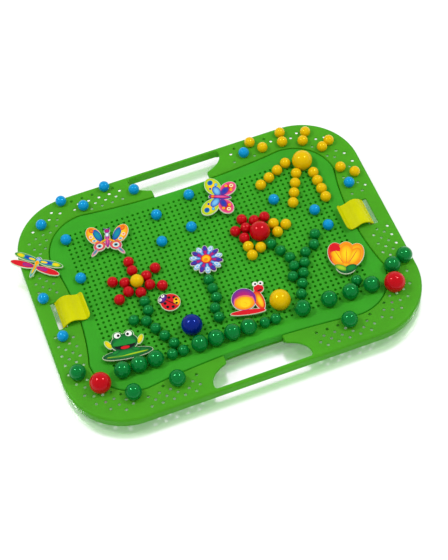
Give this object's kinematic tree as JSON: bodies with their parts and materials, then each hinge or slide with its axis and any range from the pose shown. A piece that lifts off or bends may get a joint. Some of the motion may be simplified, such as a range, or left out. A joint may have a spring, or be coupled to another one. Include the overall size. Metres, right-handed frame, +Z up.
{
  "type": "peg mosaic board",
  "caption": "Tray-shaped peg mosaic board with two carry handles, a perforated panel held by hinged clips, mushroom pegs and flat picture pegs.",
  "frame": {"origin": "centre of the flat underside of the storage well, which rests on the table", "axes": "+X along the long side to the right, +Y to the rear away from the user, +Z up out of the board"},
  "size_m": [0.3354, 0.246, 0.0325],
  "materials": {
    "frame_green": "satin moulded polypropylene",
    "panel_green": "satin moulded polypropylene",
    "clip_yellow": "glossy, slightly translucent",
    "pin_steel": "plain wire",
    "peg_red": "glossy",
    "peg_yellow": "glossy",
    "peg_blue": "glossy",
    "peg_navy": "glossy",
    "peg_green": "glossy",
    "figure_butterfly_left_print": "printed plate with a white border",
    "figure_butterfly_rear_print": "printed plate with a white border",
    "figure_dragonfly_print": "printed plate with a white border",
    "figure_daisy_print": "printed plate with a white border",
    "figure_ladybird_print": "printed plate with a white border",
    "figure_frog_print": "printed plate with a white border",
    "figure_snail_print": "printed plate with a white border",
    "figure_tulip_print": "printed plate with a white border"
  },
  "bodies": {
    "root": {"frame": "frame_green", "pegboard_panel": "panel_green", "clip_pin_left": "pin_steel", "clip_pin_right": "pin_steel"},
    "clip_left": {"clip_left": "clip_yellow"},
    "clip_right": {"clip_right": "clip_yellow"},
    "figure_butterfly_left": {"figure_butterfly_left": "figure_butterfly_left_print"},
    "figure_butterfly_rear": {"figure_butterfly_rear": "figure_butterfly_rear_print"},
    "figure_dragonfly": {"figure_dragonfly": "figure_dragonfly_print"},
    "figure_daisy": {"figure_daisy": "figure_daisy_print"},
    "figure_ladybird": {"figure_ladybird": "figure_ladybird_print"},
    "figure_frog": {"figure_frog": "figure_frog_print"},
    "figure_snail": {"figure_snail": "figure_snail_print"},
    "figure_tulip": {"figure_tulip": "figure_tulip_print"},
    "peg_sun_large_yellow": {"peg_sun_large_yellow": "peg_yellow"},
    "peg_large_yellow": {"peg_large_yellow": "peg_yellow"},
    "peg_large_blue": {"peg_large_blue": "peg_navy"},
    "peg_blossom_large_red": {"peg_blossom_large_red": "peg_red"},
    "peg_corner_left_large_red": {"peg_corner_left_large_red": "peg_red"},
    "peg_corner_right_large_red": {"peg_corner_right_large_red": "peg_red"},
    "peg_flower_centre_yellow": {"peg_flower_centre_yellow": "peg_yellow"},
    "peg_medium_green_frame_left": {"peg_medium_green_frame_left": "peg_green"},
    "peg_medium_green_front_1": {"peg_medium_green_front_1": "peg_green"},
    "peg_medium_green_front_2": {"peg_medium_green_front_2": "peg_green"},
    "peg_medium_green_frame_right": {"peg_medium_green_frame_right": "peg_green"},
    "peg_medium_green_row_left": {"peg_medium_green_row_left": "peg_green"},
    "peg_medium_green_row_right": {"peg_medium_green_row_right": "peg_green"},
    "peg_small_blue_left": {"peg_small_blue_left": "peg_blue"},
    "peg_small_blue_right": {"peg_small_blue_right": "peg_blue"},
    "peg_small_red": {"peg_small_red": "peg_red"},
    "peg_small_yellow": {"peg_small_yellow": "peg_yellow"},
    "peg_small_green": {"peg_small_green": "peg_green"}
  },
  "joints": [
    {"name": "clip_left_hinge", "type": "hinge", "parent": "root", "child": "clip_left", "pos_m": [-0.1452, 0.001, 0.0156], "axis": [0, -1, 0], "range_deg": [0, 95]},
    {"name": "clip_right_hinge", "type": "hinge", "parent": "root", "child": "clip_right", "pos_m": [0.1452, 0.001, 0.0156], "axis": [0, 1, 0], "range_deg": [0, 95]},
    {"name": "figure_butterfly_left_pull", "type": "slide", "parent": "root", "child": "figure_butterfly_left", "axis": [0, 0, 1], "range_m": [0, 0.014]},
    {"name": "figure_butterfly_rear_pull", "type": "slide", "parent": "root", "child": "figure_butterfly_rear", "axis": [0, 0, 1], "range_m": [0, 0.014]},
    {"name": "figure_dragonfly_pull", "type": "slide", "parent": "root", "child": "figure_dragonfly", "axis": [0, 0, 1], "range_m": [0, 0.014]},
    {"name": "figure_daisy_pull", "type": "slide", "parent": "root", "child": "figure_daisy", "axis": [0, 0, 1], "range_m": [0, 0.014]},
    {"name": "figure_ladybird_pull", "type": "slide", "parent": "root", "child": "figure_ladybird", "axis": [0, 0, 1], "range_m": [0, 0.014]},
    {"name": "figure_frog_pull", "type": "slide", "parent": "root", "child": "figure_frog", "axis": [0, 0, 1], "range_m": [0, 0.014]},
    {"name": "figure_snail_pull", "type": "slide", "parent": "root", "child": "figure_snail", "axis": [0, 0, 1], "range_m": [0, 0.014]},
    {"name": "figure_tulip_pull", "type": "slide", "parent": "root", "child": "figure_tulip", "axis": [0, 0, 1], "range_m": [0, 0.014]},
    {"name": "peg_sun_large_yellow_pull", "type": "slide", "parent": "root", "child": "peg_sun_large_yellow", "axis": [0, 0, 1], "range_m": [0, 0.014]},
    {"name": "peg_large_yellow_pull", "type": "slide", "parent": "root", "child": "peg_large_yellow", "axis": [0, 0, 1], "range_m": [0, 0.014]},
    {"name": "peg_large_blue_pull", "type": "slide", "parent": "root", "child": "peg_large_blue", "axis": [0, 0, 1], "range_m": [0, 0.014]},
    {"name": "peg_blossom_large_red_pull", "type": "slide", "parent": "root", "child": "peg_blossom_large_red", "axis": [0, 0, 1], "range_m": [0, 0.014]},
    {"name": "peg_corner_left_large_red_pull", "type": "slide", "parent": "root", "child": "peg_corner_left_large_red", "axis": [0, 0, 1], "range_m": [0, 0.014]},
    {"name": "peg_corner_right_large_red_pull", "type": "slide", "parent": "root", "child": "peg_corner_right_large_red", "axis": [0, 0, 1], "range_m": [0, 0.014]},
    {"name": "peg_flower_centre_yellow_pull", "type": "slide", "parent": "root", "child": "peg_flower_centre_yellow", "axis": [0, 0, 1], "range_m": [0, 0.014]},
    {"name": "peg_medium_green_frame_left_pull", "type": "slide", "parent": "root", "child": "peg_medium_green_frame_left", "axis": [0, 0, 1], "range_m": [0, 0.014]},
    {"name": "peg_medium_green_front_1_pull", "type": "slide", "parent": "root", "child": "peg_medium_green_front_1", "axis": [0, 0, 1], "range_m": [0, 0.014]},
    {"name": "peg_medium_green_front_2_pull", "type": "slide", "parent": "root", "child": "peg_medium_green_front_2", "axis": [0, 0, 1], "range_m": [0, 0.014]},
    {"name": "peg_medium_green_frame_right_pull", "type": "slide", "parent": "root", "child": "peg_medium_green_frame_right", "axis": [0, 0, 1], "range_m": [0, 0.014]},
    {"name": "peg_medium_green_row_left_pull", "type": "slide", "parent": "root", "child": "peg_medium_green_row_left", "axis": [0, 0, 1], "range_m": [0, 0.014]},
    {"name": "peg_medium_green_row_right_pull", "type": "slide", "parent": "root", "child": "peg_medium_green_row_right", "axis": [0, 0, 1], "range_m": [0, 0.014]},
    {"name": "peg_small_blue_left_pull", "type": "slide", "parent": "root", "child": "peg_small_blue_left", "axis": [0, 0, 1], "range_m": [0, 0.014]},
    {"name": "peg_small_blue_right_pull", "type": "slide", "parent": "root", "child": "peg_small_blue_right", "axis": [0, 0, 1], "range_m": [0, 0.014]},
    {"name": "peg_small_red_pull", "type": "slide", "parent": "root", "child": "peg_small_red", "axis": [0, 0, 1], "range_m": [0, 0.014]},
    {"name": "peg_small_yellow_pull", "type": "slide", "parent": "root", "child": "peg_small_yellow", "axis": [0, 0, 1], "range_m": [0, 0.014]},
    {"name": "peg_small_green_pull", "type": "slide", "parent": "root", "child": "peg_small_green", "axis": [0, 0, 1], "range_m": [0, 0.014]}
  ]
}
